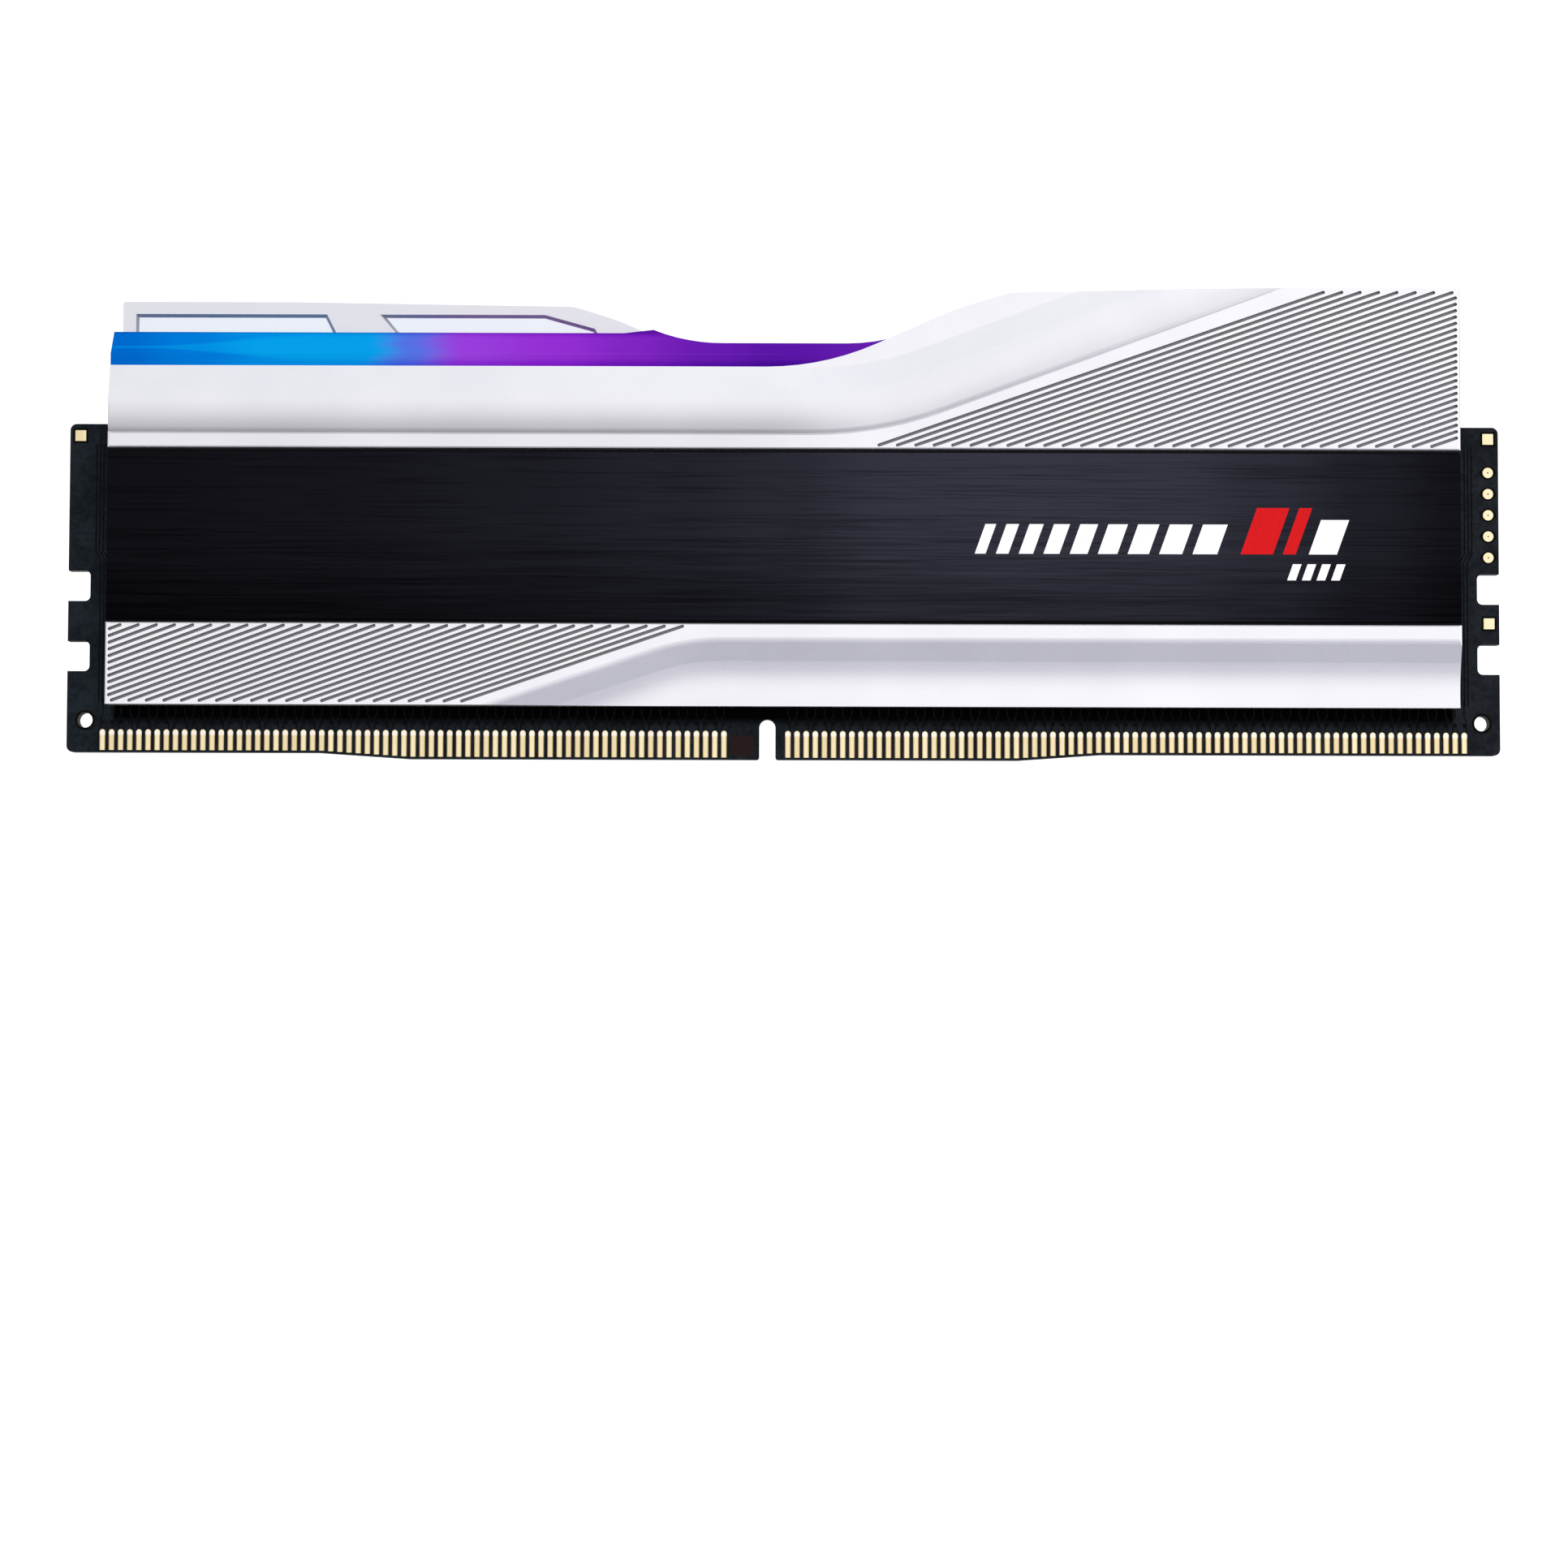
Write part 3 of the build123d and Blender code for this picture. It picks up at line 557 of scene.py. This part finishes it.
def add_rings(shape, rings, side):
    """Skin between neighbouring rings of points, in the order given."""
    rows = [[shape.verts.new(point) for point in ring] for ring in rings]
    count = len(rows[0])
    for inner, outer in zip(rows, rows[1:]):
        for i in range(count):
            j = (i + 1) % count
            corners = (inner[i], inner[j], outer[j], outer[i])
            shape.faces.new(corners if side > 0 else corners[::-1])
    return rows


def add_cap(shape, row, side):
    shape.faces.new(row if side < 0 else row[::-1])


def finish_piece(shape, name, material):
    """Turns a bmesh into a named piece that rides on the module."""
    bmesh.ops.recalc_face_normals(shape, faces=shape.faces)
    mesh = bpy.data.meshes.new(name)
    shape.to_mesh(mesh)
    shape.free()
    mesh.materials.append(material)
    piece = bpy.data.objects.new(name, mesh)
    bpy.context.scene.collection.objects.link(piece)
    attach(piece, "root")
    return piece


def board_vias(side, name, material):
    """One row of plated holes above the contacts: a low ring with a dimple in each."""
    shape = bmesh.new()
    for x in contact_xs():
        wide, top, hole = (circle(x, VIA_Z, r, VIA_STEPS) for r in VIA_R)
        rings = [loop(wide, side, -SUNK), loop(wide, side, 0.4 * RELIEF), loop(top, side, RELIEF),
                 loop(hole, side, 0.3 * RELIEF)]
        rows = add_rings(shape, rings, side)
        add_cap(shape, rows[0], side)
        add_cap(shape, rows[-1], -side)
    return finish_piece(shape, name, material)


def add_strip(shape, points, width, side):
    """Raised copper track under the mask along a polyline in the board's plane."""
    left, right = [], []
    for i, (x, z) in enumerate(points):
        ax, az = points[max(i - 1, 0)]
        bx, bz = points[min(i + 1, len(points) - 1)]
        length = math.hypot(bx - ax, bz - az)
        nx, nz = -(bz - az) / length, (bx - ax) / length
        left.append((x + nx * width / 2, z + nz * width / 2))
        right.append((x - nx * width / 2, z - nz * width / 2))
    outline = left + right[::-1]
    rows = add_rings(shape, [loop(outline, side, -SUNK), loop(outline, side, 0.7 * RELIEF)], side)
    count = len(points)
    for row in rows:
        for i in range(count - 1):
            shape.faces.new((row[i], row[i + 1], row[2 * count - 2 - i], row[2 * count - 1 - i]))


def board_traces(side, name, material):
    """Tracks from the contacts past the vias, and three along each bare end of the board."""
    shape = bmesh.new()
    for i, x in enumerate(contact_xs()):
        shifted = x + (TRACE_SHIFT if i % 2 else -TRACE_SHIFT)
        heights = (TRACE_FOOT_Z, *TRACE_JOG_Z, TRACE_TOP_Z)
        add_strip(shape, list(zip((shifted, shifted, x, x), heights)), TRACE_WIDTH, side)
    for end in (-1, 1):
        for x in END_TRACE_X:
            low, high = end * x * MM, end * x * MM + end * END_TRACE_JOG
            points = list(zip((low, low, high, high), END_TRACE_Z))
            add_strip(shape, points, TRACE_WIDTH, side)
    return finish_piece(shape, name, material)


def add_frame(shape, inner, outer, side):
    """Flat closed band between two outlines of equally many points, on the board's face."""
    rings = [loop(inner, side, -SUNK), loop(inner, side, 0.3 * RELIEF),
             loop(outer, side, 0.3 * RELIEF), loop(outer, side, -SUNK)]
    rows = add_rings(shape, rings, side)
    count = len(inner)
    for i in range(count):
        j = (i + 1) % count
        shape.faces.new((rows[3][i], rows[3][j], rows[0][j], rows[0][i]))


def square(x, z, half):
    return [(x - half, z - half), (x + half, z - half), (x + half, z + half), (x - half, z + half)]


def pointed(x, z, radius, steps):
    """Circle drawn out to a point at its left and right."""
    outline = []
    for i in range(steps):
        angle = 2 * math.pi * i / steps
        reach = radius * (1 + 0.22 * abs(math.cos(angle)) ** 8)
        outline.append((x + reach * math.cos(angle), z + reach * math.sin(angle)))
    return outline


def mask_openings(material):
    """Dark bands where the mask stops short of the pads and of the tooling holes."""
    shape = bmesh.new()
    for x, z in FIDUCIALS:
        inner, outer = (square(x, z, half) for half in FIDUCIAL_OPENING)
        add_frame(shape, inner, outer, -1)
    for x, z in TEST_PADS:
        inner = circle(x, z, TEST_PAD_OPENING[0], OPENING_STEPS)
        outer = pointed(x, z, TEST_PAD_OPENING[1], OPENING_STEPS)
        add_frame(shape, inner, outer, -1)
    x, z = TOOLING_HOLE
    for side in (-1, 1):
        for end in (-1, 1):
            inner, outer = (circle(end * x, z, radius, OPENING_STEPS)
                            for radius in TOOLING_HOLE_OPENING)
            add_frame(shape, inner, outer, side)
    return finish_piece(shape, "mask_openings", material)


raised_mask = board_relief("raised_mask", (0.0014, 0.0020, 0.0023), (0.0034, 0.0044, 0.0050))
via_mask = board_relief("via_mask", (0.0010, 0.0010, 0.0014), (0.0040, 0.0042, 0.0050))
open_mask = board_relief("open_mask", (0.0012, 0.0012, 0.0010), (0.0040, 0.0036, 0.0028))
for board_side, label in ((-1, "front"), (1, "rear")):
    board_vias(board_side, "board_vias_" + label, via_mask)
    board_traces(board_side, "board_traces_" + label, raised_mask)
mask_openings(open_mask)


# ------------------------------------------------------------------------- stage
FLOOR_Z = -0.060
FLOOR_HALF = 6.0
FLOOR_CELLS = 12


def stage_floor():
    """Large flat pale floor below the module."""
    mesh = bpy.data.meshes.new("floor")
    shape = bmesh.new()
    step = 2 * FLOOR_HALF / FLOOR_CELLS
    marks = [-FLOOR_HALF + i * step for i in range(FLOOR_CELLS + 1)]
    rows = [[shape.verts.new((x, y, FLOOR_Z)) for x in marks] for y in marks]
    for near, far in zip(rows, rows[1:]):
        for i in range(FLOOR_CELLS):
            shape.faces.new((near[i], near[i + 1], far[i + 1], far[i]))
    shape.to_mesh(mesh)
    shape.free()
    floor = bpy.data.objects.new("floor", mesh)
    bpy.context.scene.collection.objects.link(floor)
    floor.visible_glossy = False
    t = Tree("floor_paint")
    soft = t.noise(t.place, 3.0)
    pale = t.mix(soft, (0.93, 0.93, 0.93), (0.96, 0.96, 0.96))
    mesh.materials.append(t.set(Base_Color=pale, Roughness=0.9, Specular_IOR_Level=0.1))


def area_light(name, place, aim, width, height, power):
    data = bpy.data.lights.new(name, "AREA")
    data.shape = "RECTANGLE"
    data.size, data.size_y = width, height
    data.energy = power
    lamp = bpy.data.objects.new(name, data)
    lamp.location = place
    lamp.rotation_euler = (Vector(aim) - Vector(place)).to_track_quat("-Z", "Y").to_euler()
    bpy.context.scene.collection.objects.link(lamp)


# Studio brightness from straight down, 0, to straight up, 1, as the sine of the height
# halved and moved to that range: dim below, brightest a little above the horizon. It also
# grows a little from left to right.
STUDIO_STRENGTH = 1.325
STUDIO_TO_RIGHT = 0.25
STUDIO = (
    (0.00, (0.33, 0.33, 0.38)),
    (0.22, (0.335, 0.335, 0.395)),
    (0.32, (0.47, 0.47, 0.53)),
    (0.37, (0.74, 0.735, 0.78)),
    (0.42, (0.91, 0.905, 0.93)),
    (0.53, (0.98, 0.97, 0.98)),
    (0.60, (0.85, 0.855, 0.875)),
    (0.70, (0.82, 0.825, 0.85)),
    (0.82, (0.795, 0.80, 0.835)),
    (1.00, (0.80, 0.80, 0.83)),
)


def studio_world():
    """Soft light from all round, graded by height."""
    world = bpy.data.worlds.new("studio")
    world.use_nodes = True
    tree = world.node_tree
    place = tree.nodes.new("ShaderNodeTexCoord")
    split = tree.nodes.new("ShaderNodeSeparateXYZ")
    tree.links.new(place.outputs["Generated"], split.inputs[0])
    height = tree.nodes.new("ShaderNodeMath")
    height.operation = "MULTIPLY_ADD"
    height.inputs[1].default_value = 0.5
    height.inputs[2].default_value = 0.5
    tree.links.new(split.outputs[2], height.inputs[0])
    ramp = tree.nodes.new("ShaderNodeValToRGB")
    fill_ramp(ramp.color_ramp, STUDIO)
    tree.links.new(height.outputs[0], ramp.inputs[0])
    background = tree.nodes["Background"]
    tree.links.new(ramp.outputs[0], background.inputs[0])
    strength = tree.nodes.new("ShaderNodeMath")
    strength.operation = "MULTIPLY_ADD"
    strength.inputs[1].default_value = STUDIO_STRENGTH * STUDIO_TO_RIGHT
    strength.inputs[2].default_value = STUDIO_STRENGTH
    tree.links.new(split.outputs[0], strength.inputs[0])
    tree.links.new(strength.outputs[0], background.inputs[1])
    bpy.context.scene.world = world


def lights():
    studio_world()
    middle = (0, 0, 0.02)
    area_light("key_softbox", (0.6, -0.7, 0.7), middle, 0.8, 0.8, 1.2)
    area_light("rear_softbox", (-0.6, 0.7, 0.7), middle, 1.2, 1.2, 0.5)


# ------------------------------------------------------------------------ camera
CAMERA_PLACE = (0.000114, -0.2995, -0.016479)
CAMERA_PITCH = 2.725
CAMERA_ROLL = -0.1555
FOCAL_LENGTH = 73.91


def camera():
    data = bpy.data.cameras.new("camera")
    data.sensor_width = 36.0
    data.lens = FOCAL_LENGTH
    data.clip_start = 0.01
    data.clip_end = 20
    cam = bpy.data.objects.new("camera", data)
    cam.location = CAMERA_PLACE
    cam.rotation_mode = "XYZ"
    cam.rotation_euler = (math.radians(90 + CAMERA_PITCH), math.radians(CAMERA_ROLL), 0)
    bpy.context.scene.collection.objects.link(cam)
    bpy.context.scene.camera = cam


stage_floor()
lights()
camera()
bpy.context.scene.view_settings.view_transform = "Standard"
